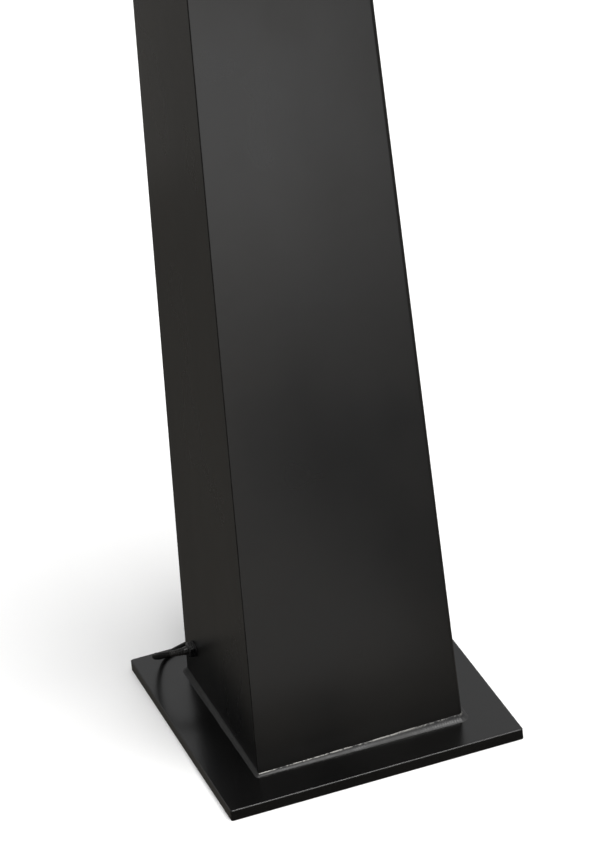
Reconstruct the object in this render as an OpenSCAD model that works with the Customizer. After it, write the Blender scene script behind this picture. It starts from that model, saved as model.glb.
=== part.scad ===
// Garden obelisk: a tapered square shaft of folded steel sheet, welded all round to a flat
// base plate, with a low light under a pyramid cap and a mains lead out of the left foot.
// Millimetres. The origin is the middle of the base plate's underside, +Z is up, the front
// face looks along -Y and the lead leaves the left face, -X, close to its rear edge.

/* [Base plate] */
// Side of the square base plate
plate_w = 400; // [396:1:402]
// Thickness of the base plate
plate_t = 15; // [14.5:0.1:15]
// Radius of the plate's vertical corners
plate_corner_r = 3; // [1:0.5:6]

/* [Shaft] */
// Outer width of the shaft where it meets the plate
foot_w = 282; // [281:0.5:283]
// Outer width of the shaft at its top end
top_w = 184; // [182:1:196]
// Height of the shaft above the plate
shaft_h = 1950; // [1900:10:2100]
// Thickness of the shaft's sheet
sheet_t = 3; // [2:0.5:4]
// Outside radius of the two folded corners
bend_r = 6; // [5:0.5:8]
// Width of the gap that each corner seam weld fills
seam_w = 1.2; // [0.8:0.1:2]
// Leg of the fillet weld round the foot
weld_leg = 7.5; // [6:0.5:11]

/* [Lamp head] */
// Height of the light gap between the shaft and the cap
light_gap = 25; // [20:1:40]
// Side of the square diffuser
diffuser_w = 156; // [150:1:160]
// Width of the cap at its eaves
cap_w = 188; // [184:1:200]
// Height of the pyramid cap above its plate
cap_h = 200; // [140:5:260]

/* [Mains lead] */
// Diameter of the mains lead
cord_d = 6.5; // [6:0.1:6.5]

/* [Service hatch] */
// Width of the hatch cover on the rear face
hatch_w = 150; // [140:1:160]
// Height of the hatch cover
hatch_h = 170; // [150:1:180]

/* [Hidden] */
$fn = 48;

steel_black = [0.13, 0.13, 0.135];
weld_grey = [0.30, 0.30, 0.31];
plastic_black = [0.06, 0.06, 0.065];
rubber_black = [0.09, 0.09, 0.095];
zinc = [0.72, 0.73, 0.75];
light_grey = [0.75, 0.76, 0.77];
opal = [0.94, 0.94, 0.90];

shaft_z = plate_t;
shaft_top_z = shaft_z + shaft_h;
foot_half = foot_w / 2;
top_half = top_w / 2;
slope = (foot_half - top_half) / shaft_h;
lean = atan(slope);
seam_depth = sheet_t - 0.3;
edge_r = 0.5;
reach = 5000;
// Where the middle of the weld's face lies, as a share of its leg. A flat face has 0.5.
weld_hollow = 0.4;
plate_chamfer = 0.8;

head_plate_t = 5;
cap_plate_t = 5;
cap_sheet_t = 2;
head_z = shaft_top_z + head_plate_t;
cap_z = head_z + light_gap;
cap_bolt_at = 60;

gland_y = 96;
gland_z = shaft_z + 58;
washer_t = 1.5;
gland_flange_t = 3.5;
gland_nut_t = 5;
gland_thread_r = 8;
gland_back = sheet_t + 9;
cord_r = cord_d / 2;

// The lead's route, from the tip of the strain relief to the coil: round to the rear, down over
// the plate's rear edge, along the ground close behind it, and so to the coil.
relief_route = [
  [-149, 96, 73.3], [-154.5, 96, 73.3], [-160.5, 96.7, 73], [-166, 98.4, 72.4],
  [-171, 101.3, 71.3],
];
cord_route = [
  [-171, 101.3, 71.3], [-177.5, 107.5, 68.8], [-181.8, 115.2, 65.3], [-183.6, 124, 60.5],
  [-183.4, 133, 54.5], [-182, 142, 47.8], [-179.4, 150.7, 41], [-175.6, 159.2, 34.3],
  [-170.6, 167.3, 28], [-164.6, 174.6, 22.8], [-157.5, 180.7, 19.4], [-149.4, 185.6, 18.4],
  [-140.5, 189.6, 18.3], [-131, 193, 18.3], [-121.5, 196, 18.3], [-112, 198.8, 18.3],
  [-102.5, 201.4, 18.1], [-93, 203.8, 15.9], [-84, 205.8, 12], [-75, 207.4, 8.2],
  [-66, 208.9, 5.3], [-56, 210.9, 3.7], [-45, 213.8, 3.3], [-33, 217.7, 3.3],
  [-20, 221.4, 3.4], [-9, 223.4, 3.8], [0, 224, 4.45],
];
tie_t = 1.2;
coil_x = 0;
coil_rows = 3;
coil_layers = 4;
coil_mid_r = 36;
coil_y = 266.5;
coil_r_in = coil_mid_r - coil_rows * cord_d / 2;
coil_r_out = coil_mid_r + coil_rows * cord_d / 2;
coil_z_top = tie_t + coil_layers * cord_d;
tie_angle = 24;
plug_r = 19.5;
plug_x = 32;
plug_y = 224;
plug_tail_route = [
  [0, 224, 24], [11, 224, 23.4], [22, 224, 21.3], [32, 224, 19.5],
];

// Pieces inside the foot: a terminal box, and an earth stud beside it.
box_y = 95;
box_w = 90;
box_d = 60;
box_h = 36;
box_lid_t = 6;
box_wall = 3;
box_top_z = shaft_z + box_h;
tail_route = [
  [-128, 96, 73], [-115, 96, 72], [-101, 96, 67], [-87, 95, 57], [-73, 95, 46.5],
  [-59, 95, 38.5], [-45, 95, 36],
];
stud_x = 70;
stud_y = 20;
earth_route = [
  [45, 80, 30], [56, 79, 30], [66, 74, 29], [71, 64, 27], [72, 52, 24], [71, 42, 21],
  [70, 31, 19.5],
];
stud_washer_t = 1.6;
lug_t = 1.5;

// The cable up the inside of the rear face, from the terminal box to the driver.
riser_r = 3.5;
riser_x = 20;
clip_base = 2;
clip_heights = [300, 650, 1000, 1350, 1650];
driver_z = shaft_top_z - 185;
driver_y = 62;
riser_route = [
  [riser_x, 95, box_top_z + box_lid_t], [riser_x, 95, 75], [riser_x, 99, 100],
  [riser_x, 106, 128], [riser_x, 114, 158], [riser_x, 121, 190],
  [riser_x, riser_y(230), 230], [riser_x, riser_y(1660), 1660],
  [riser_x, riser_y(1685) - 1, 1685], [riser_x, 80, 1710],
  [riser_x, 70, 1735], [riser_x, driver_y + 1, 1758], [riser_x, driver_y, driver_z],
];

hatch_z = 140;
hatch_t = 2.5;
gasket_t = 1.5;
hatch_bolt_x = hatch_w / 2 - 8;
hatch_bolt_z = hatch_h / 2 - 8;
strip_w = 14;
strip_t = 4;

// Half of the shaft's outer width at a height above the ground.
function half_at(z) = foot_half - slope * (z - shaft_z);
// Middle of the riser cable where it is clipped to the rear face.
function riser_y(z) = half_at(z) - sheet_t - clip_base - riser_r;

// Points of an arc from one angle to another.
function arc(cx, cy, r, from, to, steps) =
  [for (i = [0:steps]) let (a = from + (to - from) * i / steps) [cx + r * cos(a), cy + r * sin(a)]];

// Plan outline of the whole shaft, grown outwards by g.
function shaft_outline(w, g) = concat(
  arc(-w + edge_r, -w + edge_r, edge_r + g, 180, 270, 2),
  arc(w - bend_r, -w + bend_r, bend_r + g, 270, 360, 6),
  arc(w - edge_r, w - edge_r, edge_r + g, 0, 90, 2),
  arc(-w + bend_r, w - bend_r, bend_r + g, 90, 180, 6)
);

function lifted(outline, z) = [for (p = outline) [p[0], p[1], z]];

// A closed ring swept round the shaft: each section is a loop of [outline, z] corners.
module ring_loft(sections) {
  m = len(sections);
  n = len(sections[0][0]);
  polyhedron(
    points = [for (s = sections) each lifted(s[0], s[1])],
    faces = [for (j = [0:m - 1], i = [0:n - 1])
      [j * n + i, ((j + 1) % m) * n + i, ((j + 1) % m) * n + (i + 1) % n, j * n + (i + 1) % n]]
  );
}

function unit(v) = v / norm(v);
function heading(route, i) =
  unit(route[min(i + 1, len(route) - 1)] - route[max(i - 1, 0)]);

// A round tube, solid inside, through the points of a route. The radius runs from r1 to r2,
// and ref is any direction that the route never follows.
module tube(route, r1, r2, sides, ref) {
  n = len(route);
  rings = [for (i = [0:n - 1])
    let (
      t = heading(route, i),
      side = unit(cross(ref, t)),
      up = cross(t, side),
      r = r1 + (r2 - r1) * i / (n - 1)
    )
    [for (k = [0:sides - 1]) let (a = 360 * k / sides) route[i] + r * (cos(a) * side + sin(a) * up)]
  ];
  polyhedron(
    points = [for (ring = rings) each ring],
    faces = concat(
      [[for (k = [0:sides - 1]) k]],
      [[for (k = [0:sides - 1]) n * sides - 1 - k]],
      [for (i = [0:n - 2], k = [0:sides - 1])
        [(i + 1) * sides + k, (i + 1) * sides + (k + 1) % sides,
         i * sides + (k + 1) % sides, i * sides + k]]
    )
  );
}

// Rounded rectangle, centred.
module rounded_square(w, d, r) {
  square([w - 2 * r, d], center = true);
  square([w, d - 2 * r], center = true);
  for (x = [-1, 1], y = [-1, 1]) {
    translate([x * (w / 2 - r), y * (d / 2 - r)]) circle(r);
  }
}

module rounded_slab(w, d, r, h) {
  linear_extrude(h) rounded_square(w, d, r);
}

// Square pattern of four places.
module four_at(x, y) {
  for (i = [-1, 1], j = [-1, 1]) {
    translate([i * x, j * y, 0]) children();
  }
}

// Frames on the leaning faces: local +Z is the face's outward normal.
module on_left_face(y, z) {
  translate([-half_at(z), y, z]) rotate([0, -(90 - lean), 0]) children();
}

module on_rear_face(z) {
  translate([0, half_at(z), z]) rotate([-(90 - lean), 0, 0]) children();
}

module hex_prism(across_flats, h) {
  cylinder(h = h, r = across_flats / sqrt(3), $fn = 6);
}

// Pan-head screw: the head stands on z = 0 and the shank goes down.
module screw(head_r, head_h, shank_r, length) {
  rotate_extrude() polygon(concat(
    [[0, -length], [shank_r, -length], [shank_r, 0], [head_r, 0], [head_r, head_h * 0.4]],
    [[head_r * 0.75, head_h * 0.85], [head_r * 0.4, head_h], [0, head_h]]
  ));
}

// ---------------------------------------------------------------- base and shaft

module base_plate() {
  color(steel_black) difference() {
    hull() {
      rounded_slab(plate_w, plate_w, plate_corner_r, plate_t - plate_chamfer);
      rounded_slab(plate_w - 2 * plate_chamfer, plate_w - 2 * plate_chamfer,
                   plate_corner_r, plate_t);
    }
    translate([stud_x, stud_y, plate_t - 8]) cylinder(h = 9, r = 3);
    translate([0, box_y, plate_t - 8]) four_at(box_w / 2 - 12, box_d / 2 - 12) cylinder(h = 9, r = 1.6);
  }
}

// Everything on the inner side of a plane that lies `depth` inside the shaft's face. Turn 0
// is the rear face, 90 the left, 180 the front and 270 the right.
module inside_face(turn, depth) {
  rotate(turn) on_rear_face(shaft_z)
    translate([-reach / 2, -reach / 2, -reach - depth * cos(lean)]) cube(reach);
}

// Everything on the outer side of that plane.
module outside_face(turn, depth) {
  rotate(turn) on_rear_face(shaft_z)
    translate([-reach / 2, -reach / 2, -depth * cos(lean)]) cube(reach);
}

// The heights that the shaft spans.
module shaft_span() {
  translate([-foot_w, -foot_w, shaft_z]) cube([2 * foot_w, 2 * foot_w, shaft_h]);
}

// A round bar down the middle of the fold between the front and right faces.
module fold_bar(r) {
  fall = atan(slope * sqrt(2));
  translate([foot_half - bend_r, bend_r - foot_half, shaft_z]) rotate([0, fall, 135])
    translate([0, 0, -50]) cylinder(h = shaft_h + 100, r = r * cos(lean));
}

// What a round fold of radius r leaves of the square corner.
module outside_fold(r) {
  difference() {
    intersection() {
      outside_face(180, bend_r);
      outside_face(270, bend_r);
    }
    fold_bar(r);
  }
}

// One folded half: the front sheet, whose left end closes the corner seam, the fold, and the
// right sheet, which ends short of the other seam.
module folded_half() {
  difference() {
    intersection() {
      shaft_span();
      inside_face(0, sheet_t + seam_w);
      inside_face(90, 0);
      inside_face(180, 0);
      inside_face(270, 0);
    }
    difference() {
      intersection() {
        inside_face(180, sheet_t);
        inside_face(270, sheet_t);
      }
      outside_fold(bend_r - sheet_t);
    }
    outside_fold(bend_r);
  }
}

// Clear holes for the four screws that hold the lamp head.
module head_screw_holes() {
  for (turn = [0:90:270]) {
    rotate(turn) on_rear_face(shaft_top_z - 18)
      translate([0, 0, -sheet_t - 1]) cylinder(h = sheet_t + 2, r = 2.75);
  }
}

module shell_front_right() {
  color(steel_black) difference() {
    folded_half();
    head_screw_holes();
  }
}

module shell_rear_left() {
  color(steel_black) difference() {
    rotate(180) folded_half();
    head_screw_holes();
    on_left_face(gland_y, gland_z)
      translate([0, 0, -sheet_t - 1]) cylinder(h = sheet_t + 2, r = gland_thread_r + 0.2);
    on_rear_face(hatch_z) {
      translate([0, 0, -sheet_t - 1])
        rounded_slab(hatch_w - 40, hatch_h - 30, 10, sheet_t + 2);
      translate([0, 0, -sheet_t - 1])
        four_at(hatch_bolt_x, hatch_bolt_z) cylinder(h = sheet_t + 2, r = 2.75);
    }
  }
}

// Weld metal in the slot between the front sheet and the left sheet, a little below flush.
module corner_seam() {
  intersection() {
    shaft_span();
    inside_face(90, sheet_t - seam_depth);
    outside_face(90, sheet_t);
    inside_face(180, sheet_t);
    outside_face(180, sheet_t + seam_w);
  }
}

module seam_weld_front_left() {
  color(weld_grey) corner_seam();
}

module seam_weld_rear_right() {
  color(weld_grey) rotate(180) corner_seam();
}

// Fillet weld all round the foot, slightly hollow between its two toes.
module foot_weld() {
  at_wall = half_at(shaft_z + weld_leg);
  color(weld_grey) ring_loft([
    [shaft_outline(foot_half, 0), shaft_z],
    [shaft_outline(foot_half, weld_leg), shaft_z],
    [shaft_outline(foot_half, weld_leg * weld_hollow), shaft_z + weld_leg * weld_hollow],
    [shaft_outline(at_wall, 0), shaft_z + weld_leg],
  ]);
}

// ---------------------------------------------------------------- cable gland and lead

module gland_washer() {
  color(rubber_black) on_left_face(gland_y, gland_z) difference() {
    cylinder(h = washer_t, r = 11);
    translate([0, 0, -1]) cylinder(h = washer_t + 2, r = gland_thread_r);
  }
}

module gland_body() {
  color(plastic_black) on_left_face(gland_y, gland_z) difference() {
    union() {
      translate([0, 0, washer_t]) hex_prism(20, gland_flange_t);
      translate([0, 0, -gland_back]) cylinder(h = gland_back + washer_t + gland_flange_t,
                                              r = gland_thread_r);
      translate([0, 0, washer_t]) cylinder(h = gland_flange_t + 2.5, r = 7);
    }
    translate([0, 0, -gland_back - 1]) cylinder(h = gland_back + 3, r = 4.5);
    translate([0, 0, 2]) cylinder(h = 20, r = 5.5);
  }
}

module gland_nut() {
  base = washer_t + gland_flange_t;
  color(plastic_black) on_left_face(gland_y, gland_z) difference() {
    intersection() {
      translate([0, 0, base]) hex_prism(20, gland_nut_t);
      rotate_extrude() polygon([[0, base], [12, base], [12, base + 2], [10, base + 3.8],
                                [7.5, base + gland_nut_t], [0, base + gland_nut_t]]);
    }
    translate([0, 0, base - 1]) cylinder(h = 3.5, r = 7);
    translate([0, 0, base - 1]) cylinder(h = gland_nut_t + 2, r = 5);
  }
}

// Rubber sleeve that the nut squeezes on the lead, inside the gland.
module gland_seal() {
  color(rubber_black) on_left_face(gland_y, gland_z)
    translate([0, 0, 2.5]) cylinder(h = washer_t + gland_flange_t, r = 4.8);
}

module gland_locknut() {
  color(plastic_black) on_left_face(gland_y, gland_z) difference() {
    translate([0, 0, -sheet_t - 5]) hex_prism(22, 5);
    translate([0, 0, -sheet_t - 6]) cylinder(h = 7, r = gland_thread_r);
  }
}

module strain_relief() {
  color(rubber_black) tube(relief_route, 6, 4.3, 16, [0, 0, 1]);
}

module supply_cord() {
  color(rubber_black) tube(cord_route, cord_r, cord_r, 10, [0, 0, 1]);
}

module cord_coil() {
  color(rubber_black) translate([coil_x, coil_y, tie_t]) rotate_extrude()
    translate([coil_r_in, 0]) square([coil_r_out - coil_r_in, coil_z_top - tie_t]);
}

module cord_tie() {
  color(plastic_black) translate([coil_x, coil_y, 0]) rotate(90 - tie_angle / 2)
    rotate_extrude(angle = tie_angle) difference() {
      translate([coil_r_in - tie_t, 0]) square([coil_r_out - coil_r_in + 2 * tie_t, coil_z_top + tie_t]);
      translate([coil_r_in, tie_t]) square([coil_r_out - coil_r_in, coil_z_top - tie_t]);
    }
}

module plug_tail() {
  color(rubber_black) tube(plug_tail_route, cord_r, cord_r, 10, [0, 0, 1]);
}

// Moulded plug lying on its side, its axis along X.
module plug_body() {
  color(plastic_black) translate([plug_x, plug_y, plug_r]) rotate([0, 90, 0]) difference() {
    rotate_extrude() polygon([
      [0, 0], [4.4, 0], [6, 24], [9.5, 27], [12, 34], [13.5, 42], [16.5, 50], [19, 53.5],
      [plug_r, 55.5], [plug_r, 66], [18.5, 67.5], [0, 67.5],
    ]);
    for (y = [-1, 1]) {
      translate([-6.5, y * 20.5 - 2.5, 57]) cube([13, 5, 12]);
    }
  }
}

module plug_pins() {
  color(zinc) translate([plug_x + 67.5, plug_y, plug_r]) rotate([0, 90, 0])
    for (x = [-1, 1]) {
      translate([x * 9.5, 0, 0]) {
        cylinder(h = 16.5, r = 2.4);
        translate([0, 0, 16.5]) cylinder(h = 2.5, r1 = 2.4, r2 = 1.4);
      }
    }
}

// ---------------------------------------------------------------- inside the foot

module supply_tail() {
  color(rubber_black) tube(tail_route, cord_r, cord_r, 10, [0, 0, 1]);
}

module terminal_box() {
  color(light_grey) translate([0, box_y, shaft_z]) difference() {
    rounded_slab(box_w, box_d, 5, box_h);
    translate([0, 0, box_wall]) rounded_slab(box_w - 2 * box_wall, box_d - 2 * box_wall, 3, box_h);
    four_at(box_w / 2 - 12, box_d / 2 - 12) translate([0, 0, -1]) cylinder(h = box_wall + 2, r = 2.2);
  }
}

module terminal_box_lid() {
  color(light_grey) translate([0, box_y, box_top_z]) rounded_slab(box_w, box_d, 5, box_lid_t);
}

module terminal_box_screws() {
  color(zinc) translate([0, box_y, shaft_z + box_wall])
    four_at(box_w / 2 - 12, box_d / 2 - 12) screw(3.4, 2.6, 1.6, box_wall + 7);
}

// Three-pole connector strip on the floor of the box.
module terminal_block() {
  color(opal) translate([0, box_y, shaft_z + box_wall]) difference() {
    for (i = [-1:1]) {
      translate([i * 12 - 5.5, -13, 0]) cube([11, 26, 14]);
    }
    for (i = [-1:1], y = [-7, 7]) {
      translate([i * 12, y, 6]) cylinder(h = 9, r = 2.2);
    }
  }
  color(opal) translate([-18, box_y - 2, shaft_z + box_wall]) cube([36, 4, 3]);
}

module earth_stud() {
  color(zinc) translate([stud_x, stud_y, plate_t - 7]) cylinder(h = 25, r = 3);
}

// On the stud: a washer, the lead's ring lug and a nut.
module earth_fasteners() {
  color(zinc) translate([stud_x, stud_y, plate_t]) {
    difference() {
      cylinder(h = stud_washer_t, r = 6);
      translate([0, 0, -1]) cylinder(h = 4, r = 3.2);
    }
    translate([0, 0, stud_washer_t + lug_t]) difference() {
      hex_prism(10, 5);
      translate([0, 0, -1]) cylinder(h = 7, r = 3.05);
    }
  }
}

module earth_lead() {
  lug_z = plate_t + stud_washer_t;
  color([0.35, 0.6, 0.15]) tube(earth_route, 1.8, 1.8, 8, [0, 0, 1]);
  color(zinc) difference() {
    union() {
      translate([stud_x, stud_y, lug_z]) cylinder(h = lug_t, r = 5.5);
      translate([stud_x - 2.5, stud_y + 3, lug_z]) cube([5, 10, lug_t]);
    }
    translate([stud_x, stud_y, lug_z - 1]) cylinder(h = lug_t + 2, r = 3.2);
  }
}

module riser_cable() {
  color(rubber_black) tube(riser_route, riser_r, riser_r, 10, [1, 0, 0]);
}

module cable_clips() {
  color(plastic_black) for (z = clip_heights) {
    translate([riser_x, half_at(z) - sheet_t, z]) rotate([lean, 0, 0]) difference() {
      translate([-9, -clip_base - 2 * riser_r - 2, -6])
        cube([18, clip_base + 2 * riser_r + 2, 12]);
      translate([0, -clip_base - riser_r, -10]) cylinder(h = 20, r = riser_r + 0.1);
    }
  }
}

// ---------------------------------------------------------------- service hatch

module hatch_cover() {
  color(steel_black) on_rear_face(hatch_z) translate([0, 0, gasket_t]) difference() {
    rounded_slab(hatch_w, hatch_h, 6, hatch_t);
    translate([0, 0, -1]) four_at(hatch_bolt_x, hatch_bolt_z) cylinder(h = hatch_t + 2, r = 2.75);
  }
}

module hatch_gasket() {
  color(rubber_black) on_rear_face(hatch_z) difference() {
    rounded_slab(hatch_w - 2, hatch_h - 2, 5, gasket_t);
    translate([0, 0, -1]) rounded_slab(hatch_w - 36, hatch_h - 26, 10, gasket_t + 2);
    translate([0, 0, -1]) four_at(hatch_bolt_x, hatch_bolt_z) cylinder(h = gasket_t + 2, r = 2.75);
  }
}

module hatch_screws() {
  color(zinc) on_rear_face(hatch_z) translate([0, 0, gasket_t + hatch_t])
    four_at(hatch_bolt_x, hatch_bolt_z) screw(4.75, 2.8, 2.5, 12);
}

// Two bars inside the shaft with the screws' threads.
module hatch_nut_strips() {
  color(zinc) on_rear_face(hatch_z) for (x = [-1, 1]) {
    translate([x * hatch_bolt_x, 0, -sheet_t - strip_t]) difference() {
      translate([-strip_w / 2, -hatch_h / 2, 0]) cube([strip_w, hatch_h, strip_t]);
      for (y = [-1, 1]) {
        translate([0, y * hatch_bolt_z, -1]) cylinder(h = strip_t + 2, r = 2.5);
      }
    }
  }
}

// ---------------------------------------------------------------- lamp head

// Plate that closes the shaft, with four tabs that drop inside it.
module head_plate() {
  tab_half = half_at(shaft_top_z) - sheet_t;
  color(steel_black) {
    difference() {
      union() {
        translate([0, 0, shaft_top_z]) rounded_slab(top_w, top_w, 2, head_plate_t);
        for (turn = [0:90:270]) {
          rotate(turn) translate([-20, tab_half - 5, shaft_top_z - 30]) cube([40, 4.8, 30]);
        }
      }
      translate([0, 0, shaft_top_z - 1]) cylinder(h = head_plate_t + 2, r = 8);
      translate([0, 0, shaft_top_z - 1])
        four_at(cap_bolt_at, cap_bolt_at) cylinder(h = head_plate_t + 2, r = 3.3);
      for (turn = [0:90:270]) {
        rotate(turn) on_rear_face(shaft_top_z - 18) translate([0, 0, -12]) cylinder(h = 12, r = 2.5);
      }
    }
  }
}

module head_screws() {
  color(zinc) for (turn = [0:90:270]) {
    rotate(turn) on_rear_face(shaft_top_z - 18) screw(4.75, 2.8, 2.5, 10);
  }
}

module heat_sink() {
  fins = 9;
  color(light_grey) difference() {
    union() {
      translate([-40, -40, shaft_top_z - 6]) cube([80, 80, 6]);
      for (i = [0:fins - 1]) {
        translate([-40 + i * 9.75, -40, shaft_top_z - 24]) cube([2, 80, 18.5]);
      }
    }
    translate([0, 0, shaft_top_z - 30]) cylinder(h = 40, r = 8);
  }
}

module led_board() {
  color([0.93, 0.94, 0.92]) translate([0, 0, head_z]) difference() {
    union() {
      cylinder(h = 1.6, r = 52);
      for (a = [0:30:330]) {
        rotate(a) translate([42, -1.75, 1.6]) cube([3.5, 3.5, 0.8]);
      }
    }
    translate([0, 0, -1]) cylinder(h = 3, r = 5);
  }
}

module led_lead() {
  rise = head_z + 1.6;
  up_route = [
    [0, 50, driver_z + 150], [0, 49, driver_z + 154], [0, 40, driver_z + 157],
    [0, 24, driver_z + 157], [0, 10, driver_z + 158], [0, 2, driver_z + 165],
    [0, 0, driver_z + 176], [0, 0, rise],
  ];
  color([0.9, 0.9, 0.88]) tube(up_route, 2, 2, 8, [1, 0, 0]);
}

module diffuser() {
  color(opal) translate([0, 0, head_z]) difference() {
    rounded_slab(diffuser_w, diffuser_w, 14, light_gap);
    translate([0, 0, -1]) rounded_slab(diffuser_w - 6, diffuser_w - 6, 11, light_gap + 2);
  }
}

module standoffs() {
  color(zinc) translate([0, 0, head_z]) four_at(cap_bolt_at, cap_bolt_at) difference() {
    cylinder(h = light_gap, r = 6);
    translate([0, 0, -1]) cylinder(h = light_gap + 2, r = 3.3);
  }
}

module cap_bolts() {
  color(zinc) four_at(cap_bolt_at, cap_bolt_at) {
    translate([0, 0, shaft_top_z - 4]) hex_prism(10, 4);
    translate([0, 0, shaft_top_z]) cylinder(h = cap_z + cap_plate_t - shaft_top_z, r = 3);
  }
}

module cap_plate() {
  color(steel_black) translate([0, 0, cap_z]) difference() {
    rounded_slab(cap_w, cap_w, 2, cap_plate_t);
    translate([0, 0, -1]) four_at(cap_bolt_at, cap_bolt_at) cylinder(h = cap_plate_t + 2, r = 3);
  }
}

// Pyramid of folded sheet, closed below by the cap plate.
module cap_shell() {
  base = cap_z + cap_plate_t;
  w = cap_w / 2;
  inner = w - cap_sheet_t * sqrt(1 + pow(w / cap_h, 2));
  inner_h = cap_h * inner / w;
  corners = [[-1, -1], [1, -1], [1, 1], [-1, 1]];
  color(steel_black) polyhedron(
    points = concat(
      [for (c = corners) [c[0] * w, c[1] * w, base]],
      [[0, 0, base + cap_h]],
      [for (c = corners) [c[0] * inner, c[1] * inner, base]],
      [[0, 0, base + inner_h]]
    ),
    faces = concat(
      [for (i = [0:3]) [(i + 1) % 4, i, 4]],
      [for (i = [0:3]) [5 + i, 5 + (i + 1) % 4, 9]],
      [for (i = [0:3]) [i, (i + 1) % 4, 5 + (i + 1) % 4, 5 + i]]
    )
  );
}

// Strap that hangs under the head plate and carries the driver.
module driver_bracket() {
  color(zinc) difference() {
    union() {
      translate([-20, driver_y + 14, driver_z + 5]) cube([40, 2, shaft_top_z - driver_z - 5]);
      translate([-20, driver_y - 4, shaft_top_z - 2]) cube([40, 20, 2]);
    }
    for (z = [driver_z + 15, driver_z + 135]) {
      translate([-12, driver_y + 20, z]) rotate([90, 0, 0]) cylinder(h = 10, r = 1.7);
    }
  }
}

module led_driver() {
  color(light_grey) translate([0, driver_y, driver_z]) difference() {
    translate([0, 0, 0]) rounded_slab(56, 28, 3, 150);
    for (z = [15, 135]) {
      translate([-12, 15, z]) rotate([90, 0, 0]) cylinder(h = 8, r = 1.6);
    }
  }
}

module driver_screws() {
  color(zinc) for (z = [driver_z + 15, driver_z + 135]) {
    translate([-12, driver_y + 16, z]) rotate([-90, 0, 0]) screw(3.4, 2.4, 1.6, 8);
  }
}

base_plate();
shell_front_right();
shell_rear_left();
seam_weld_front_left();
seam_weld_rear_right();
foot_weld();
gland_washer();
gland_body();
gland_nut();
gland_seal();
gland_locknut();
strain_relief();
supply_cord();
cord_coil();
cord_tie();
plug_tail();
plug_body();
plug_pins();
supply_tail();
terminal_box();
terminal_box_lid();
terminal_box_screws();
terminal_block();
earth_stud();
earth_fasteners();
earth_lead();
riser_cable();
cable_clips();
hatch_cover();
hatch_gasket();
hatch_screws();
hatch_nut_strips();
head_plate();
head_screws();
heat_sink();
led_board();
led_lead();
diffuser();
standoffs();
cap_bolts();
cap_plate();
cap_shell();
driver_bracket();
led_driver();
driver_screws();
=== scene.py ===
import math

import bpy
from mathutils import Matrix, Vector, noise


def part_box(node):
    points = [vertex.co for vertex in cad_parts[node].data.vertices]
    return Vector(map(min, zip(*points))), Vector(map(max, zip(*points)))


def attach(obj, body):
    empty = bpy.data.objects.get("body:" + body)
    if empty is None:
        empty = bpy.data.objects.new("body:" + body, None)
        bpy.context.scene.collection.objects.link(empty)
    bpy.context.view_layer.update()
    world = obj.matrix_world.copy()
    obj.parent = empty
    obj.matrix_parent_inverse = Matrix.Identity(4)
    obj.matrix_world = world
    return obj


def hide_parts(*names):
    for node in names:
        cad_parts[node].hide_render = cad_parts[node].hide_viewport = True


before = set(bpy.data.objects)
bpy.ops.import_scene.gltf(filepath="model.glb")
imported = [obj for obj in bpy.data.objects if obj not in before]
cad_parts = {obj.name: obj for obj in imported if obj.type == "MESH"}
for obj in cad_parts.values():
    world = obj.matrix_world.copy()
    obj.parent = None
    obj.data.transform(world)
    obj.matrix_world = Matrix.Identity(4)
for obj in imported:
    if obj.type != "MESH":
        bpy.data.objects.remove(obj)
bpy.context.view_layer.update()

MM = 0.001
scene = bpy.context.scene


# ------------------------------------------------------------------ camera

CAMERA_AZIMUTH = math.radians(-17.43)
CAMERA_ELEVATION = math.radians(29.68)
CAMERA_ROLL = math.radians(-5.84)
CAMERA_DISTANCE = 6.099
CAMERA_TARGET = Vector((0.0054, 0.0, 0.4147))
CAMERA_LENS = 202.75


def make_camera():
    back = Vector((
        math.sin(CAMERA_AZIMUTH) * math.cos(CAMERA_ELEVATION),
        -math.cos(CAMERA_AZIMUTH) * math.cos(CAMERA_ELEVATION),
        math.sin(CAMERA_ELEVATION),
    ))
    right = (-back).cross(Vector((0, 0, 1))).normalized()
    up = right.cross(-back)
    c, s = math.cos(CAMERA_ROLL), math.sin(CAMERA_ROLL)
    right, up = c * right + s * up, c * up - s * right
    data = bpy.data.cameras.new("camera")
    data.lens = CAMERA_LENS
    data.sensor_width = 36
    data.clip_end = 300
    data.dof.use_dof = False
    ob = bpy.data.objects.new("camera", data)
    scene.collection.objects.link(ob)
    place = CAMERA_TARGET + back * CAMERA_DISTANCE
    for row in range(3):
        ob.matrix_world[row][0] = right[row]
        ob.matrix_world[row][1] = up[row]
        ob.matrix_world[row][2] = back[row]
        ob.matrix_world[row][3] = place[row]
    scene.camera = ob


make_camera()


# ------------------------------------------------------------------ materials

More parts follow.
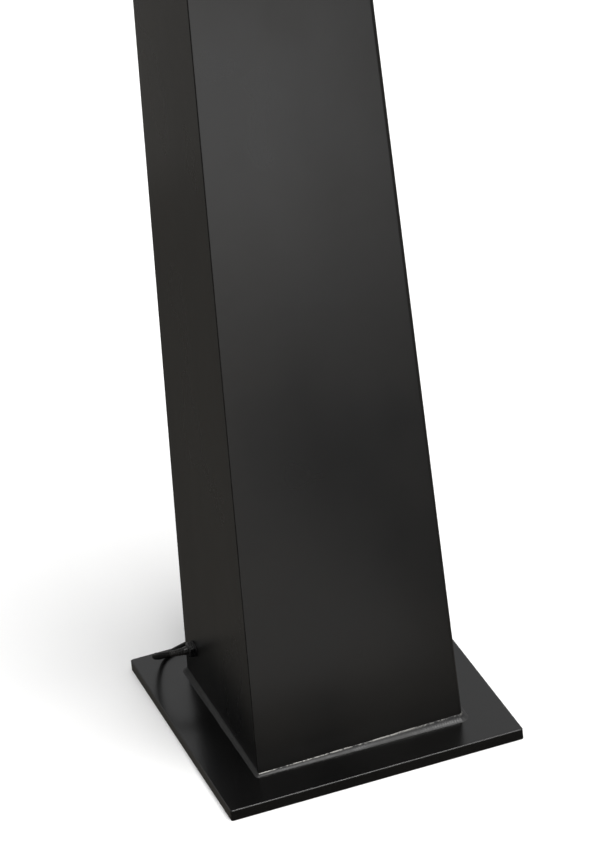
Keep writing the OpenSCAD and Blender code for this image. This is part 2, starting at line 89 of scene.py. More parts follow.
class Shader:
    """A Principled material under construction. Patterns use object coordinates, in metres."""

    def __init__(self, name):
        self.mat = bpy.data.materials.new(name)
        self.mat.use_nodes = True
        self.tree = self.mat.node_tree
        self.tree.nodes.clear()
        self.out = self.add("ShaderNodeOutputMaterial")
        self.bsdf = self.add("ShaderNodeBsdfPrincipled")
        self.link(self.bsdf.outputs[0], self.out.inputs["Surface"])
        self.coords = self.add("ShaderNodeTexCoord").outputs["Object"]

    def add(self, kind):
        return self.tree.nodes.new(kind)

    def link(self, a, b):
        self.tree.links.new(a, b)

    def put(self, socket, value):
        if isinstance(value, bpy.types.NodeSocket):
            self.link(value, socket)
        else:
            socket.default_value = value

    def stretched(self, scale):
        node = self.add("ShaderNodeMapping")
        node.inputs["Scale"].default_value = scale
        self.link(self.coords, node.inputs["Vector"])
        return node.outputs[0]

    def noise(self, scale, detail=3.0, rough=0.55, vector=None):
        node = self.add("ShaderNodeTexNoise")
        self.link(vector or self.coords, node.inputs["Vector"])
        node.inputs["Scale"].default_value = scale
        node.inputs["Detail"].default_value = detail
        node.inputs["Roughness"].default_value = rough
        return node.outputs["Fac"]

    def cells(self, scale):
        node = self.add("ShaderNodeTexVoronoi")
        self.link(self.coords, node.inputs["Vector"])
        node.inputs["Scale"].default_value = scale
        return node.outputs["Distance"]

    def ramp(self, value, low, high, to_low=0.0, to_high=1.0):
        node = self.add("ShaderNodeMapRange")
        node.interpolation_type = "SMOOTHSTEP"
        self.link(value, node.inputs["Value"])
        for key, number in (("From Min", low), ("From Max", high),
                            ("To Min", to_low), ("To Max", to_high)):
            node.inputs[key].default_value = number
        return node.outputs["Result"]

    def math(self, kind, a, b):
        node = self.add("ShaderNodeMath")
        node.operation = kind
        self.put(node.inputs[0], a)
        self.put(node.inputs[1], b)
        return node.outputs[0]

    def mix(self, factor, a, b):
        node = self.add("ShaderNodeMix")
        node.data_type = "RGBA"
        self.put(node.inputs["Factor"], factor)
        for socket, value in ((node.inputs[6], a), (node.inputs[7], b)):
            self.put(socket, value if isinstance(value, bpy.types.NodeSocket) else (*value, 1))
        return node.outputs[2]

    def bump(self, height, strength, distance, normal=None):
        node = self.add("ShaderNodeBump")
        node.inputs["Strength"].default_value = strength
        node.inputs["Distance"].default_value = distance
        self.link(height, node.inputs["Height"])
        if normal is not None:
            self.link(normal, node.inputs["Normal"])
        return node.outputs["Normal"]

    def rounded(self, radius):
        node = self.add("ShaderNodeBevel")
        node.samples = 6
        node.inputs["Radius"].default_value = radius
        return node.outputs["Normal"]

    def edge_mask(self, soft_normal):
        """0 on a flat face, towards 1 on an edge."""
        geometry = self.add("ShaderNodeNewGeometry")
        dot = self.add("ShaderNodeVectorMath")
        dot.operation = "DOT_PRODUCT"
        self.link(soft_normal, dot.inputs[0])
        self.link(geometry.outputs["True Normal"], dot.inputs[1])
        return self.ramp(dot.outputs["Value"], 0.985, 0.93)

    def attribute(self, name):
        node = self.add("ShaderNodeAttribute")
        node.attribute_name = name
        return node.outputs["Fac"]

    def set(self, **values):
        """Fill the surface's inputs, named with underscores for spaces."""
        for key, value in values.items():
            self.put(self.bsdf.inputs[key.replace("_", " ")], value)


EDGE_RADIUS = 0.8 * MM      # of the rubbed edges


def coating(name, dark, light, rough):
    """Satin black powder coat: fine orange peel, slow mottling, faint drips, dust and rubbed edges."""
    s = Shader(name)
    patches = s.noise(3.1, 4.0, 0.6)
    streaks = s.noise(5.0, 3.0, 0.5, s.stretched((1.0, 1.0, 0.16)))
    tone = s.mix(s.ramp(patches, 0.32, 0.68), dark, light)
    dust = s.ramp(s.cells(85.0), 0.055, 0.02)
    dust = s.math("MULTIPLY", dust, s.ramp(s.noise(11.0, 2.0), 0.55, 0.7))
    tone = s.mix(s.math("MULTIPLY", dust, 0.2), tone, (0.07, 0.068, 0.064))
    soft = s.rounded(EDGE_RADIUS)
    edge = s.math("MULTIPLY", s.edge_mask(soft), s.ramp(s.noise(55.0, 4.0, 0.65), 0.35, 0.65))
    tone = s.mix(s.math("MULTIPLY", edge, 0.55), tone, (0.05, 0.049, 0.048))
    mottled = s.math("ADD", s.math("MULTIPLY", patches, 0.5), s.math("MULTIPLY", streaks, 0.5))
    roughness = s.ramp(mottled, 0.34, 0.66, *rough)
    roughness = s.math("SUBTRACT", roughness, s.math("MULTIPLY", edge, 0.1))
    peel = s.noise(520.0, 2.0, 0.5)
    waves = s.noise(24.0, 2.0, 0.5)
    relief = s.math("ADD", s.math("MULTIPLY", peel, 0.35), waves)
    s.set(Base_Color=tone, Roughness=roughness, IOR=1.5,
          Normal=s.bump(relief, 0.25, 0.0006, soft))
    return s.mat


def moulded(name, dark, light, rough, grain, specular=0.5):
    """Moulded plastic or rubber: slight colour drift, scuffs in the gloss, and a fine grain."""
    s = Shader(name)
    drift = s.noise(38.0, 4.0, 0.6)
    scuff = s.noise(240.0, 3.0, 0.6, s.stretched((1.0, 0.35, 1.0)))
    s.set(Base_Color=s.mix(s.ramp(drift, 0.3, 0.7), dark, light),
          Roughness=s.ramp(scuff, 0.3, 0.7, *rough), Specular_IOR_Level=specular,
          Normal=s.bump(s.noise(grain, 2.0), 0.25, 0.0003))
    return s.mat


def metal(name, dark, light, rough, brushed=(1.0, 1.0, 1.0)):
    """Bare or plated metal with a directional grain and dull spots."""
    s = Shader(name)
    spots = s.noise(70.0, 4.0, 0.65)
    grain = s.noise(900.0, 2.0, 0.5, s.stretched(brushed))
    s.set(Base_Color=s.mix(s.ramp(spots, 0.35, 0.7), dark, light), Metallic=1.0,
          Roughness=s.ramp(spots, 0.3, 0.7, rough[1], rough[0]),
          Normal=s.bump(grain, 0.2, 0.0002))
    return s.mat


def weld_coat(name):
    """Coated weld: duller than the sheet, with a pale line along its upper toe that is partly bare
    steel where the coat is drawn thin and partly a painted highlight; the vertex attribute toe says
    how strong it is."""
    s = Shader(name)
    toe = s.attribute("toe")
    ragged = s.noise(260.0, 4.0, 0.7)
    spotty = s.noise(38.0, 3.0, 0.6)
    # pale toe line: bare steel where the coat is thin, together with a painted highlight
    bare_and_highlight = s.math("MULTIPLY", toe, s.ramp(s.math("ADD", ragged, spotty), 0.86, 1.12))
    tone = s.mix(s.ramp(spotty, 0.3, 0.7), (0.005, 0.005, 0.0055), (0.011, 0.0105, 0.0105))
    # the pale steel colour along the toe is partly bare metal and partly a painted highlight
    s.set(Base_Color=s.mix(bare_and_highlight, tone, (0.62, 0.61, 0.58)),
          Metallic=s.math("MULTIPLY", bare_and_highlight, 0.6),
          Roughness=s.ramp(spotty, 0.3, 0.7, 0.42, 0.55),
          Normal=s.bump(ragged, 0.35, 0.0004))
    return s.mat


def seam_coat_painted_shade(name):
    """Ground-back weld over a corner slot, under a black coat, duller and pitted, and coloured near
    black as painted shade of the groove at the corner.
    """
    s = Shader(name)
    pits = s.noise(330.0, 4.0, 0.7)
    run = s.noise(60.0, 3.0, 0.6)
    # near-black colour, darker than the coat: painted shade of the corner groove on a real dull weld
    s.set(Base_Color=s.mix(s.ramp(run, 0.35, 0.7), (0.0010, 0.0010, 0.0010), (0.003, 0.003, 0.003)),
          Roughness=s.ramp(pits, 0.3, 0.7, 0.6, 0.85), Specular_IOR_Level=0.12,
          Normal=s.bump(pits, 0.6, 0.0005))
    return s.mat


def woven(name):
    """Tightly woven black nylon tape."""
    s = Shader(name)
    warp = s.add("ShaderNodeTexWave")
    warp.bands_direction = "X"
    warp.inputs["Scale"].default_value = 420.0
    weft = s.add("ShaderNodeTexWave")
    weft.bands_direction = "Z"
    weft.inputs["Scale"].default_value = 300.0
    for node in (warp, weft):
        s.link(s.coords, node.inputs["Vector"])
    threads = s.math("MULTIPLY", warp.outputs["Fac"], weft.outputs["Fac"])
    fuzz = s.noise(700.0, 3.0)
    s.set(Base_Color=s.mix(threads, (0.009, 0.009, 0.010), (0.028, 0.028, 0.031)),
          Roughness=s.ramp(fuzz, 0.3, 0.7, 0.75, 0.95),
          Normal=s.bump(s.math("ADD", threads, s.math("MULTIPLY", fuzz, 0.4)), 0.7, 0.0005))
    return s.mat


def opal(name):
    """Opal acrylic: milky, faintly uneven, with a satin skin."""
    s = Shader(name)
    cloud = s.noise(9.0, 3.0)
    s.set(Base_Color=s.mix(s.ramp(cloud, 0.3, 0.7), (0.78, 0.775, 0.74), (0.86, 0.855, 0.83)),
          Roughness=s.ramp(s.noise(60.0, 3.0), 0.3, 0.7, 0.28, 0.42),
          Subsurface_Weight=0.25, Subsurface_Scale=0.004,
          Normal=s.bump(s.noise(30.0, 2.0), 0.1, 0.0006))
    return s.mat


def striped(name):
    """Green and yellow insulation of the earth conductor."""
    s = Shader(name)
    wave = s.add("ShaderNodeTexWave")
    wave.bands_direction = "Z"
    wave.inputs["Scale"].default_value = 45.0
    s.link(s.coords, wave.inputs["Vector"])
    stripe = s.ramp(wave.outputs["Fac"], 0.45, 0.55)
    s.set(Base_Color=s.mix(stripe, (0.05, 0.22, 0.03), (0.62, 0.55, 0.03)),
          Roughness=s.ramp(s.noise(200.0), 0.3, 0.7, 0.4, 0.55),
          Normal=s.bump(s.noise(500.0), 0.2, 0.0002))
    return s.mat


SHEET = coating("coat_shaft", (0.0032, 0.0033, 0.0036), (0.0054, 0.0048, 0.0041), (0.26, 0.36))
PLATE = coating("coat_plate", (0.0012, 0.0012, 0.0014), (0.0022, 0.0021, 0.0019), (0.18, 0.26))
CAP = coating("coat_cap", (0.0034, 0.0035, 0.0037), (0.0052, 0.0048, 0.0045), (0.26, 0.36))
WELD = weld_coat("coat_foot_weld")
# seam material: dull pitted weld, with painted shade of the corner groove in its colour
SEAM_PAINTED_SHADE = seam_coat_painted_shade("coat_seam_weld_painted_shade")
RUBBER = moulded("rubber_black", (0.0015, 0.0015, 0.0018), (0.0040, 0.0038, 0.0038),
                 (0.40, 0.55), 900.0, specular=0.18)
SLEEVE = moulded("rubber_sleeve", (0.0025, 0.0022, 0.0020), (0.0080, 0.0062, 0.0050),
                 (0.28, 0.42), 700.0, specular=0.35)
NYLON = moulded("plastic_gland", (0.0015, 0.0015, 0.0018), (0.0040, 0.0040, 0.0044),
                (0.24, 0.36), 1200.0, specular=0.35)
PLUG = moulded("plastic_plug", (0.010, 0.010, 0.011), (0.021, 0.021, 0.022), (0.36, 0.52), 1500.0)
GREY = moulded("plastic_grey", (0.42, 0.43, 0.44), (0.50, 0.51, 0.52), (0.45, 0.6), 900.0)
WHITE = moulded("plastic_white", (0.72, 0.72, 0.69), (0.80, 0.80, 0.78), (0.40, 0.55), 900.0)
ZINC = metal("zinc_steel", (0.50, 0.50, 0.52), (0.68, 0.68, 0.69), (0.26, 0.42))
NICKEL = metal("nickel_pins", (0.60, 0.59, 0.56), (0.74, 0.73, 0.70), (0.16, 0.28))
ALUMINIUM = metal("aluminium", (0.66, 0.67, 0.68), (0.80, 0.80, 0.81), (0.30, 0.45), (1.0, 0.05, 1.0))
STRAP = woven("nylon_strap")
OPAL = opal("opal_acrylic")
EARTH = striped("earth_sleeve")

NODE_LOOKS = {
    PLATE: ["base_plate"],
    SHEET: ["shell_front_right", "shell_rear_left", "hatch_cover"],
    CAP: ["head_plate", "cap_plate", "cap_shell"],
    NYLON: ["gland_body", "gland_nut", "gland_locknut", "cable_clips"],
    RUBBER: ["gland_washer", "gland_seal", "supply_tail", "riser_cable", "hatch_gasket"],
    GREY: ["terminal_box", "terminal_box_lid", "led_driver"],
    WHITE: ["terminal_block", "led_board", "led_lead"],
    ZINC: ["terminal_box_screws", "earth_stud", "earth_fasteners", "hatch_nut_strips",
           "hatch_screws", "head_screws", "standoffs", "cap_bolts", "driver_bracket",
           "driver_screws"],
    NICKEL: ["plug_pins"],
    ALUMINIUM: ["heat_sink"],
    OPAL: ["diffuser"],
    EARTH: ["earth_lead"],
}


def dress_cad_nodes():
    for material, names in NODE_LOOKS.items():
        for name in names:
            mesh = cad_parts[name].data
            mesh.materials.clear()
            mesh.materials.append(material)


dress_cad_nodes()


# ------------------------------------------------------------------ mesh tools

def piece(name, verts, faces, material, sharp=35.0):
    """A mesh object on the root body, smooth except at edges sharper than so many degrees."""
    mesh = bpy.data.meshes.new(name)
    mesh.from_pydata([tuple(v) for v in verts], [], faces)
    mesh.validate()
    mesh.materials.append(material)
    mesh.shade_smooth()
    mesh.set_sharp_from_angle(angle=math.radians(sharp))
    ob = bpy.data.objects.new(name, mesh)
    scene.collection.objects.link(ob)
    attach(ob, "root")
    return ob


def ring_faces(rings, sides, closed_ring=False):
    """Quads between rings of vertices; closed_ring joins the last ring to the first."""
    last = rings if closed_ring else rings - 1
    return [
        [j * sides + i, j * sides + (i + 1) % sides,
         ((j + 1) % rings) * sides + (i + 1) % sides, ((j + 1) % rings) * sides + i]
        for j in range(last) for i in range(sides)
    ]


def smooth_route(points, per, before=None):
    """A Catmull-Rom curve through points, with per steps between neighbours. before is the
    point that the curve comes from."""
    p = [Vector(q) for q in points]
    first = Vector(before) if before else 2 * p[0] - p[1]
    p = [first] + p + [2 * p[-1] - p[-2]]
    line = []
    for i in range(1, len(p) - 2):
        for k in range(per):
            t = k / per
            a, b, c, d = p[i - 1:i + 3]
            line.append(0.5 * (2 * b + (c - a) * t + (2 * a - 5 * b + 4 * c - d) * t * t
                               + (3 * b - a - 3 * c + d) * t ** 3))
    line.append(p[-2])
    return line


def length_of(line):
    return sum((b - a).length for a, b in zip(line, line[1:]))


def sweep(line, radius, sides):
    """Vertices and faces of a capped tube along a line; radius(t) with t from 0 to 1."""
    tangent = (line[1] - line[0]).normalized()
    side = tangent.orthogonal().normalized()
    verts, done, total = [], 0.0, length_of(line)
    for i, point in enumerate(line):
        ahead = line[min(i + 1, len(line) - 1)] - line[max(i - 1, 0)]
        turn = tangent.rotation_difference(ahead.normalized())
        side = (turn @ side).normalized()
        tangent = ahead.normalized()
        up = tangent.cross(side)
        if i:
            done += (point - line[i - 1]).length
        r = radius(done / total)
        for k in range(sides):
            a = 2 * math.pi * k / sides
            verts.append(point + r * (math.cos(a) * side + math.sin(a) * up))
    faces = ring_faces(len(line), sides)
    faces.append(list(range(sides))[::-1])
    faces.append([(len(line) - 1) * sides + k for k in range(sides)])
    return verts, faces


# ------------------------------------------------------------------ mains lead

CORD_D = 6.5 * MM
RELIEF_ROUTE = [
    (-149, 96, 73.3), (-154.5, 96, 73.3), (-160.5, 96.7, 73), (-166, 98.4, 72.4),
    (-171, 101.3, 71.3),
]
CORD_ROUTE = [
    (-171, 101.3, 71.3), (-177.5, 107.5, 68.8), (-181.8, 115.2, 65.3), (-183.6, 124, 60.5),
    (-183.4, 133, 54.5), (-182, 142, 47.8), (-179.4, 150.7, 41), (-175.6, 159.2, 34.3),
    (-170.6, 167.3, 28), (-164.6, 174.6, 22.8), (-157.5, 180.7, 19.4), (-149.4, 185.6, 18.4),
    (-140.5, 189.6, 18.3), (-131, 193, 18.3), (-121.5, 196, 18.3), (-112, 198.8, 18.3),
    (-102.5, 201.4, 18.1), (-93, 203.8, 15.9), (-84, 205.8, 12), (-75, 207.4, 8.2),
    (-66, 208.9, 5.3), (-56, 210.9, 3.7), (-45, 213.8, 3.3), (-33, 217.7, 3.3),
    (-20, 221.4, 3.4), (-9, 223.4, 3.8), (0, 224, 4.45),
]
PLUG_TAIL_ROUTE = [(0, 224, 24), (11, 224, 23.4), (22, 224, 21.3), (32, 224, 19.5)]
COIL_CENTRE = Vector((0, 266.5, 0))
COIL_ROWS = (42.5, 36.0, 29.5)
COIL_LAYERS = (4.45, 10.95, 17.45, 23.95)
COIL_STEPS = 40
CROSSOVER = 0.4       # the share of a turn that a step to the next place takes
HEAD_START = 0.1      # the share of a turn by which a step leads the one that follows it


def ease(t):
    """Two parabolas from 0 to 1, the S-bend that is gentlest at its tightest."""
    t = min(1.0, max(0.0, t))
    return 2 * t * t if t < 0.5 else 1 - 2 * (1 - t) ** 2


def coil_line():
    """Eleven turns, three to a layer, wound in and out again layer by layer. Each turn steps to
    the next place in a long crossover. The later ones start first, far enough ahead of the turn
    that takes their place for the two to roll past each other without crossing."""
    places = []
    for layer, z in enumerate(COIL_LAYERS):
        rows = COIL_ROWS if layer % 2 == 0 else COIL_ROWS[::-1]
        places += [(r, z, layer) for r in rows]
    line = []
    for (r, z, layer), following in zip(places, places[1:]):
        rises = following[2] != layer
        start = 1 - CROSSOVER - 2 * HEAD_START * layer - (HEAD_START if rises else 0)
        for k in range(COIL_STEPS):
            share = k / COIL_STEPS
            t = ease((share - start) / CROSSOVER)
            a = 2 * math.pi * share - math.pi / 2
            slack = 1 + 0.008 * math.sin(2 * a + 0.6) * (1 + math.sin(a)) / 2
            radius = (r + (following[0] - r) * t) * slack
            height = z + (following[1] - z) * t
            line.append(COIL_CENTRE + Vector((radius * math.cos(a), radius * math.sin(a), height)))
    return line


def make_cord():
    line = smooth_route(CORD_ROUTE, 4, RELIEF_ROUTE[-2])[:-1] + coil_line()
    line += smooth_route(PLUG_TAIL_ROUTE, 4)
    line = [p * MM for p in line]
    curve = bpy.data.curves.new("mains_lead", "CURVE")
    curve.dimensions = "3D"
    curve.bevel_depth = CORD_D / 2
    curve.bevel_resolution = 3
    curve.use_fill_caps = True
    curve.materials.append(RUBBER)
    spline = curve.splines.new("POLY")
    spline.points.add(len(line) - 1)
    for point, place in zip(spline.points, line):
        point.co = (*place, 1)
    spline.use_smooth = True
    ob = bpy.data.objects.new("mains_lead", curve)
    scene.collection.objects.link(ob)
    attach(ob, "root")
    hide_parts("supply_cord", "cord_coil", "plug_tail")
    return ob, line


ROOT_R, TAPER, GROOVE_DEPTH, LIP_ROUNDING = 5.9, 1.9, 0.75, 0.5     # mm
GROOVES = 5
GROOVES_START, GROOVES_END, LIP_START = 0.22, 0.90, 0.93            # shares of the length


def make_strain_relief():
    """Tapered rubber sleeve with five grooves and a rounded lip at its tip."""
    line = [p * MM for p in smooth_route(RELIEF_ROUTE, 14)]

    def radius(t):
        grooved = min(1.0, max(0.0, (t - GROOVES_START) / (GROOVES_END - GROOVES_START)))
        groove = GROOVE_DEPTH * math.sin(math.pi * GROOVES * grooved) ** 2
        lip = max(0.0, (t - LIP_START) / (1 - LIP_START))
        return (ROOT_R - TAPER * t - groove - LIP_ROUNDING * lip ** 2) * MM

    verts, faces = sweep(line, radius, 28)
    ob = piece("strain_relief_sleeve", verts, faces, SLEEVE)
    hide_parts("strain_relief")
    return ob


STRAP_ROOM = 1.2 * MM           # from the coil to the strap's outermost face, and to the floor
STRAP_THICKNESS = 1.1 * MM
STRAP_THINNING = 0.3 * MM       # off each face, along the strap's edges
STRAP_CORNER = 3.0 * MM
STRAP_CORNER_STEPS = 6
STRAP_COLUMNS = 7
STRAP_HALF_WIDTH = math.radians(11.5)


def make_tie():
    """Woven strap round the coil on the side away from the object."""
    centre = COIL_CENTRE * MM
    inner = COIL_ROWS[-1] * MM - CORD_D / 2 + STRAP_CORNER
    outer = COIL_ROWS[0] * MM + CORD_D / 2 - STRAP_CORNER
    low = STRAP_ROOM + STRAP_CORNER
    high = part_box("cord_tie")[1].z - STRAP_ROOM - STRAP_CORNER
    section = []
    for r, z, start in ((outer, low, -90), (outer, high, 0), (inner, high, 90), (inner, low, 180)):
        for k in range(STRAP_CORNER_STEPS + 1):
            a = math.radians(start + 90 * k / STRAP_CORNER_STEPS)
            section.append((r, z, math.cos(a), math.sin(a)))
    verts = []
    for outside in (False, True):
        for j in range(STRAP_COLUMNS):
            thinning = STRAP_THINNING if j in (0, STRAP_COLUMNS - 1) else 0.0
            grow = STRAP_CORNER + (STRAP_THICKNESS - thinning if outside else thinning)
            a = math.pi / 2 + (2 * j / (STRAP_COLUMNS - 1) - 1) * STRAP_HALF_WIDTH
            for corner_r, corner_z, out, up in section:
                r = corner_r + out * grow
                z = max(0.0, corner_z + up * grow)
                verts.append(centre + Vector((r * math.cos(a), r * math.sin(a), z)))
    n = len(section)
    over = STRAP_COLUMNS * n        # from a vertex of the inner face to its twin on the outer one
    faces = []
    for j in range(STRAP_COLUMNS - 1):
        for i in range(n):
            a, b = j * n + i, j * n + (i + 1) % n
            faces.append([a + n, b + n, b, a])
            faces.append([over + a, over + b, over + b + n, over + a + n])
    for j in (0, STRAP_COLUMNS - 1):
        for i in range(n):
            a, b = j * n + i, j * n + (i + 1) % n
            faces.append([a, b, over + b, over + a] if j == 0 else [over + a, over + b, b, a])
    ob = piece("coil_strap", verts, faces, STRAP, 50.0)
    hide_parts("cord_tie")
    return ob


# Along the plug's axis and its radius there, mm, from the cord's end to the face with the pins.
PLUG_PROFILE = [
    (0, 3.9), (0.6, 4.3), (8, 4.9), (16, 5.4), (23, 6.1), (25.5, 7.6), (27, 9.3), (30, 10.8),
    (34, 12.0), (38, 12.7), (42, 13.5), (46, 15.0), (50, 16.7), (52, 18.0), (53.5, 19.0),
    (55, 19.45), (57, 19.5), (60, 19.5), (63, 19.5), (66, 19.45), (67, 19.1), (67.5, 18.4),
    (67.5, 15.5), (66.9, 15.0), (66.9, 0.01),
]
PLUG_STEP = 0.8
PLUG_SIDES = 72
NECK_GROOVES = (8, 24, 3.2, 0.55)       # start, end, pitch and depth, mm
GRIP_GROOVES = (31, 49, 3.0, 0.7)
GRIP_EDGE = 0.55            # the grip's grooves fade out here, as a share of the way to its middle
RECESS_START, RECESS_HALF_WIDTH, RECESS_FLOOR = 57.5, 6.5, 17.0
FACE_R = 14                 # mm; the recesses are cut in the rim, outside this radius


def groove_depth(x, start, end, pitch, depth):
    return depth * math.sin(math.pi * (x - start) / pitch) ** 2 if start < x < end else 0.0


def make_plug():
    """Moulded round plug on its side: ribbed grip, waist, and earth-clip recesses."""
    lo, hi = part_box("plug_body")
    start, axis = lo.x, Vector((0, (lo.y + hi.y) / 2, (lo.z + hi.z) / 2))
    sides, fine = PLUG_SIDES, []
    for (x0, r0), (x1, r1) in zip(PLUG_PROFILE, PLUG_PROFILE[1:]):
        steps = max(1, int((x1 - x0) / PLUG_STEP))
        fine += [(x0 + (x1 - x0) * k / steps, r0 + (r1 - r0) * k / steps) for k in range(steps)]
    fine.append(PLUG_PROFILE[-1])
    verts = []
    for x, r in fine:
        for k in range(sides):
            a = 2 * math.pi * k / sides
            y, z = math.cos(a), math.sin(a)
            radius = r - groove_depth(x, *NECK_GROOVES)
            grip = max(0.0, (abs(y) - GRIP_EDGE) / (1 - GRIP_EDGE))
            radius -= groove_depth(x, *GRIP_GROOVES) * grip
            if x > RECESS_START and r > FACE_R and abs(z * r) < RECESS_HALF_WIDTH:
                radius = min(radius, RECESS_FLOOR / abs(y))
            verts.append(axis + Vector((start + x * MM, radius * y * MM, radius * z * MM)))
    faces = [f[::-1] for f in ring_faces(len(fine), sides)]
    faces.append(list(range(sides)))
    faces.append([(len(fine) - 1) * sides + k for k in range(sides)][::-1])
    ob = piece("plug_moulding", verts, faces, PLUG, 40.0)
    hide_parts("plug_body")
    return ob


lead, lead_line = make_cord()
relief = make_strain_relief()
strap = make_tie()
plug = make_plug()


# ------------------------------------------------------------------ foot weld

SHARP_CORNER = 0.5 * MM     # radius of the shaft's seamed corners
FOLDED_CORNER = 6 * MM      # radius of its folded corners
CORNER_STEPS = 14
WELD_STEP = 0.9 * MM        # distance between the bead's cross-sections
WELD_POINTS = 11            # points across the bead, from its upper toe to its lower one
WELD_PULL = 0.27            # how far the hollow face bows out: 0 is into the corner, 0.5 is flat
# At the start and end of each side, from the front round by the right:
WELD_LEGS = [(3.2, 8.0), (8.0, 7.0), (7.0, 6.2), (6.2, 4.6)]        # the bead's legs, mm
WELD_BARE_AND_HIGHLIGHT = [(1.0, 0.35), (0.3, 0.3), (0.3, 0.3), (0.0, 0.0)]       # how bare its toe is and how strong its painted highlight is
TOE_SHARES = [0.55, 1.0, 0.35]      # of that, on the first points from the toe
TOE_ROLL = (0.35 * MM, 0.25 * MM)   # out and up, for the rounded edge just below the toe
TOE_OVERLAP = 0.15 * MM             # of the bead into the sheet
ROOT_DEPTH = 0.6 * MM               # behind the outline
RIPPLE_LENGTH = 3.4 * MM
RIPPLE_HEIGHT = 0.12 * MM


def foot_outline(step):
    """Points on the foot's outline with their outward directions, once round from the front left
    corner. A station is (point, outward, side, share of the side)."""
    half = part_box("shell_front_right")[1].x
    radii = [SHARP_CORNER, FOLDED_CORNER, SHARP_CORNER, FOLDED_CORNER]
    turns = [(-1, -1), (1, -1), (1, 1), (-1, 1)]
    stations = []
    for side in range(4):
        r0, r1 = radii[side], radii[(side + 1) % 4]
        c0, c1 = Vector((*turns[side], 0)) * half, Vector((*turns[(side + 1) % 4], 0)) * half
        along = (c1 - c0).normalized()
        outward = Vector((along.y, -along.x, 0))
        a, b = c0 + along * r0, c1 - along * r1
        count = int((b - a).length / step)
        for k in range(count + 1):
            stations.append((a.lerp(b, k / count), outward, side, k / count))
        pivot = b - outward * r1
        for k in range(1, CORNER_STEPS):
            angle = math.pi / 2 * k / CORNER_STEPS
            way = outward * math.cos(angle) + along * math.sin(angle)
            stations.append((pivot + way * r1, way, side, 1.0))
    return stations


def blended(ends, share):
    return ends[0] + (ends[1] - ends[0]) * share


def make_foot_weld():
    """Hand-laid fillet all round the foot. It starts small at the front left corner, is largest
    at the front right one, and shrinks from there round the back."""
    stations = foot_outline(WELD_STEP)
    plate_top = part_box("base_plate")[1].z
    shell_lo, shell_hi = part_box("shell_front_right")
    slope = (shell_hi.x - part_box("head_plate")[1].x) / (shell_hi.z - shell_lo.z)
    verts, toe = [], []
    walked = 0.0
    last = stations[0][0]
    for point, outward, side, share in stations:
        walked += (point - last).length
        last = point
        leg = blended(WELD_LEGS[side], share) * MM
        # bare toe and painted highlight: strongest at the front left corner, fading to the right, none
        # on the left side
        bare_and_highlight = blended(WELD_BARE_AND_HIGHLIGHT[side], share)
        wobble = noise.noise(Vector((walked * 38, 1.7, 0.3)))
        ragged = noise.noise(Vector((walked * 210, 5.1, 2.2)))
        height = leg * (1 + 0.10 * wobble + 0.05 * ragged)
        reach = leg * (1 - 0.08 * wobble + 0.05 * noise.noise(Vector((walked * 160, 9.3, 4.0))))
        ripple = RIPPLE_HEIGHT * math.sin(2 * math.pi * (walked / RIPPLE_LENGTH + 0.5 * wobble))
        for k in range(WELD_POINTS):
            t = k / (WELD_POINTS - 1)
            d = 2 * t * (1 - t) * reach * WELD_PULL + t * t * reach
            z = (1 - t) ** 2 * height + 2 * t * (1 - t) * height * WELD_PULL
            belly = math.sin(math.pi * t) * ripple
            d += belly - (slope * z + TOE_OVERLAP) * (1 - t) ** 2
            z += belly
            if k == 1:
                d += TOE_ROLL[0]
                z += TOE_ROLL[1]
            verts.append(point + outward * d + Vector((0, 0, plate_top + max(z, 0.0))))
            toe.append(bare_and_highlight * TOE_SHARES[k] if k < len(TOE_SHARES) else 0.0)
        verts.append(point - outward * ROOT_DEPTH + Vector((0, 0, plate_top)))
        toe.append(0.0)
    faces = ring_faces(len(stations), WELD_POINTS + 1, closed_ring=True)
    ob = piece("foot_weld_bead", verts, faces, WELD, 80.0)
    # the toe attribute carries the bare toe and its painted highlight to the weld material
    layer = ob.data.attributes.new("toe", "FLOAT", "POINT")
    layer.data.foreach_set("value", toe)
    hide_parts("foot_weld")


make_foot_weld()


# ------------------------------------------------------------------ corner seams

# Across a seam, mm: how far back from the corner, and how proud of the side face.
SEAM_SECTION = [(0.2, -0.2), (0.3, 0.06), (1.4, 0.16), (2.8, 0.16), (4.0, 0.06), (4.5, -0.2)]
SEAM_STEP = 2 * MM
SPOT_SHARE = 0.47           # where the heaped spot is, as a share of the seam's length
SPOT_SIZE = 4 * MM


def make_seam(name, node, half_turn):
    """Ground-back weld over a corner slot: a low strip on the side face, from the corner back,
    with a ragged edge and one heaped spot. Both seams have the shape of the front left one."""
    places = [v.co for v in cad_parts["shell_front_right"].data.vertices]
    low, high = min(q.z for q in places), max(q.z for q in places)
    foot = max(q.x for q in places)
    top = max(q.x for q in places if q.z > high - MM)
    rows = int((high - low) / SEAM_STEP)
    verts = []
    for row in range(rows + 1):
        share = row / rows
        z = low + (high - low) * share
        half = foot + (top - foot) * share
        ragged = noise.noise(Vector((z * 160, 3.0 + half_turn, 0.6)))
        drift = noise.noise(Vector((z * 24, 8.0 + half_turn, 1.9)))
        spot = math.exp(-((z - low - SPOT_SHARE * (high - low)) / SPOT_SIZE) ** 2)
        for back, proud in SEAM_SECTION:
            if proud > 0:
                proud += 0.04 * ragged + 0.5 * spot * (1 + ragged)
            if back > 2:
                back += 0.5 * drift + 0.25 * ragged
            x, y = -half - proud * MM, -half + back * MM
            verts.append(Vector((x, y, z)) if not half_turn else Vector((-x, -y, z)))
    sides = len(SEAM_SECTION)
    faces = [f[::-1] for f in ring_faces(rows + 1, sides)]
    faces.append(list(range(sides)))
    faces.append([rows * sides + k for k in range(sides)][::-1])
    ob = piece(name, verts, faces, SEAM_PAINTED_SHADE, 60.0)
    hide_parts(node)


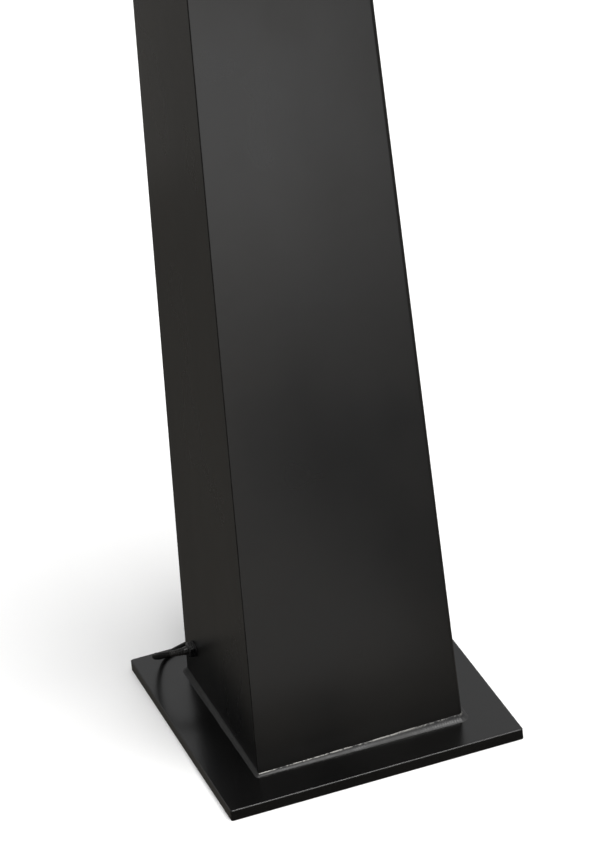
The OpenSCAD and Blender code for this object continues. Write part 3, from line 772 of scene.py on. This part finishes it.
make_seam("seam_bead_front_left", "seam_weld_front_left", False)
make_seam("seam_bead_rear_right", "seam_weld_rear_right", True)


# ------------------------------------------------------------------ studio

def make_floor():
    size, z = 60.0, -0.3 * MM
    mesh = bpy.data.meshes.new("floor")
    mesh.from_pydata([(-size, -size, z), (size, -size, z), (size, size, z), (-size, size, z)],
                     [], [[0, 1, 2, 3]])
    s = Shader("floor")
    s.set(Base_Color=s.mix(s.noise(0.7), (0.88, 0.88, 0.88), (0.91, 0.91, 0.91)),
          Roughness=0.9, Specular_IOR_Level=0.0)
    mesh.materials.append(s.mat)
    ob = bpy.data.objects.new("floor", mesh)
    scene.collection.objects.link(ob)
    ob.visible_glossy = False


def aim(ob, place, target):
    ob.location = place
    ob.rotation_euler = (Vector(target) - Vector(place)).to_track_quat("-Z", "Y").to_euler()


def make_sun(name, direction, strength, angle, colour):
    data = bpy.data.lights.new(name, "SUN")
    data.energy = strength
    data.angle = math.radians(angle)
    data.color = colour
    ob = bpy.data.objects.new(name, data)
    scene.collection.objects.link(ob)
    aim(ob, Vector(direction) * 5, (0, 0, 0))


def make_softbox(name, place, target, width, height, radiance, colour):
    data = bpy.data.lights.new(name, "AREA")
    data.shape = "RECTANGLE"
    data.size, data.size_y = width, height
    data.energy = radiance * math.pi * width * height
    data.color = colour
    ob = bpy.data.objects.new(name, data)
    scene.collection.objects.link(ob)
    aim(ob, place, target)
    ob.visible_camera = False


def make_world(zenith, bright, dim, level, below):
    """A pale ceiling, a band under it that is bright to the rear right and dim elsewhere, pale
    walls at the object's own level, and below them a darker room that only reflections see."""
    world = bpy.data.worlds.new("studio")
    world.use_nodes = True
    tree = world.node_tree
    coords = tree.nodes.new("ShaderNodeTexCoord")

    def share(direction, low, high):
        """0 to 1 as a ray's direction turns towards the one given."""
        towards = tree.nodes.new("ShaderNodeVectorMath")
        towards.operation = "DOT_PRODUCT"
        towards.inputs[1].default_value = direction
        tree.links.new(coords.outputs["Generated"], towards.inputs[0])
        step = tree.nodes.new("ShaderNodeMapRange")
        step.interpolation_type = "SMOOTHSTEP"
        step.inputs["From Min"].default_value = low
        step.inputs["From Max"].default_value = high
        tree.links.new(towards.outputs["Value"], step.inputs["Value"])
        return step.outputs["Result"]

    def blend(factor, first, second):
        mix = tree.nodes.new("ShaderNodeMix")
        mix.data_type = "RGBA"
        tree.links.new(factor, mix.inputs["Factor"])
        for socket, value in ((mix.inputs[6], first), (mix.inputs[7], second)):
            if isinstance(value, tuple):
                socket.default_value = (*value, 1)
            else:
                tree.links.new(value, socket)
        return mix.outputs[2]

    rear_right, up = (0.80, 0.45, 0.0), (0.0, 0.0, 1.0)
    band = blend(share(rear_right, 0.25, 0.50), dim, bright)
    upper = blend(share(up, 0.62, 0.80), band, zenith)
    dome = blend(share(up, 0.28, 0.44), level, upper)
    room = blend(share(up, -0.38, -0.20), below, dome)
    tree.links.new(room, tree.nodes["Background"].inputs["Color"])
    scene.world = world


make_floor()
make_world(zenith=(1.0, 1.0, 1.0), bright=(0.60, 0.605, 0.61), dim=(0.06, 0.06, 0.06),
           level=(0.55, 0.55, 0.545), below=(0.105, 0.099, 0.089))
make_sun("key", direction=(0.14, -0.32, 0.94), strength=2.6, angle=30,
         colour=(1.0, 0.995, 0.985))
make_softbox("front_fill", place=(0.25, -1.5, 0.42), target=(0.10, 0.0, 0.9),
             width=0.78, height=0.75, radiance=1.6, colour=(1.0, 1.0, 1.0))
make_softbox("front_card", place=(-0.19, -0.92, 0.012), target=(-0.19, -0.92, 1.0),
             width=0.75, height=1.2, radiance=0.45, colour=(1.0, 0.97, 0.93))
make_softbox("rear_card", place=(-0.06, 1.4, 0.40), target=(-0.06, 0.0, 0.40),
             width=0.80, height=0.6, radiance=0.17, colour=(1.0, 0.99, 0.97))
scene.view_settings.view_transform = "Standard"
